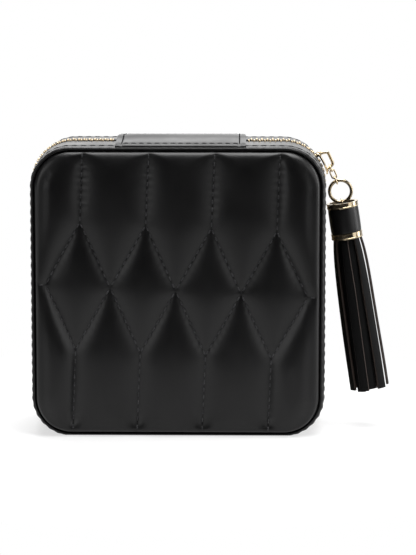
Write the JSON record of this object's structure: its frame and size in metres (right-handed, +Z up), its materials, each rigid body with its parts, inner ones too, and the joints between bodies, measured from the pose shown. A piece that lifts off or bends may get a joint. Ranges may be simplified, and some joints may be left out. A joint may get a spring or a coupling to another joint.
{
  "type": "zip-round jewellery case",
  "caption": "Square travel jewellery case of black quilted leather with a metal zip, a sewn leather hinge strip and a tassel pull.",
  "frame": {"origin": "middle of the face that the case stands on, below the zip", "axes": "+X to the right, +Y to the back, +Z up; the quilted lid faces -Y"},
  "size_m": [0.1672, 0.0546, 0.138],
  "materials": {
    "black_leather": "satin grained black leather",
    "fringe_leather": "cut black leather with brown raw edges",
    "fibre_board": "grey-brown fibre board",
    "foam": "soft foam",
    "suede_lining": "napped suede cloth",
    "zip_tape_cloth": "woven black tape",
    "gold_metal": "polished pale gold plating",
    "mirror_glass": "silvered glass",
    "cap_core": "moulded plug"
  },
  "bodies": {
    "base": {"rear_wall_leather": "black_leather", "rear_wall_board": "fibre_board", "rear_lining": "suede_lining", "rear_zip_tape": "zip_tape_cloth", "rear_zip_teeth": "gold_metal", "zip_end_stop": "gold_metal", "rear_panel_board": "fibre_board", "rear_panel_leather": "black_leather", "hinge_strip": "black_leather", "ring_roll_1": "suede_lining", "ring_roll_2": "suede_lining", "ring_roll_3": "suede_lining", "ring_roll_4": "suede_lining", "ring_roll_5": "suede_lining", "long_divider": "suede_lining", "left_divider": "suede_lining", "right_divider": "suede_lining"},
    "lid": {"front_wall_leather": "black_leather", "front_wall_board": "fibre_board", "front_lining": "suede_lining", "front_zip_tape": "zip_tape_cloth", "front_zip_teeth": "gold_metal", "front_panel_board": "fibre_board", "front_foam_pad": "foam", "front_quilted_panel": "black_leather", "lid_mirror": "mirror_glass", "mirror_frame": "suede_lining"},
    "slider": {"slider_lower_plate": "gold_metal", "slider_upper_plate": "gold_metal", "slider_post": "gold_metal", "slider_bail": "gold_metal"},
    "link_a": {"link_a": "gold_metal"},
    "link_b": {"link_b": "gold_metal"},
    "link_c": {"link_c": "gold_metal"},
    "ring": {"pull_ring": "gold_metal"},
    "tassel": {"tassel_loop": "gold_metal", "tassel_core": "cap_core", "tassel_upper_band": "gold_metal", "tassel_sleeve": "black_leather", "tassel_lower_band": "gold_metal", "tassel_fringe": "fringe_leather"}
  },
  "joints": [
    {"name": "lid_hinge", "type": "hinge", "parent": "base", "child": "lid", "pos_m": [0, 0, 0.13725], "axis": [-1, 0, 0], "range_deg": [0, 180], "deforming": ["hinge_strip"]},
    {"name": "slider_travel", "type": "hinge", "parent": "base", "child": "slider", "pos_m": [0.049, 0, 0.116], "axis": [0, 1, 0], "range_deg": [0, 22], "deforming": ["rear_zip_teeth", "front_zip_teeth", "rear_zip_tape", "front_zip_tape"]},
    {"name": "link_a_swing", "type": "hinge", "parent": "slider", "child": "link_a", "pos_m": [0.07097, 0, 0.12271], "axis": [1, 0, 0], "range_deg": [-15, 15]},
    {"name": "link_b_swing", "type": "hinge", "parent": "link_a", "child": "link_b", "pos_m": [0.07188, 0, 0.12055], "axis": [0, 1, 0], "range_deg": [-22, 0]},
    {"name": "link_c_swing", "type": "hinge", "parent": "link_b", "child": "link_c", "pos_m": [0.07322, 0, 0.1174], "axis": [0.9205, 0, 0.3907], "range_deg": [-15, 15]},
    {"name": "ring_swing", "type": "hinge", "parent": "link_c", "child": "ring", "pos_m": [0.07579, 0, 0.11134], "axis": [0, -1, 0], "range_deg": [0, 70]},
    {"name": "tassel_swing", "type": "hinge", "parent": "ring", "child": "tassel", "pos_m": [0.07658, 0, 0.10628], "axis": [0.9882, 0, 0.153], "range_deg": [-30, 30]}
  ],
  "couplings": [
    {"joint": "link_b_swing", "follows": "slider_travel", "ratio": -1}
  ]
}
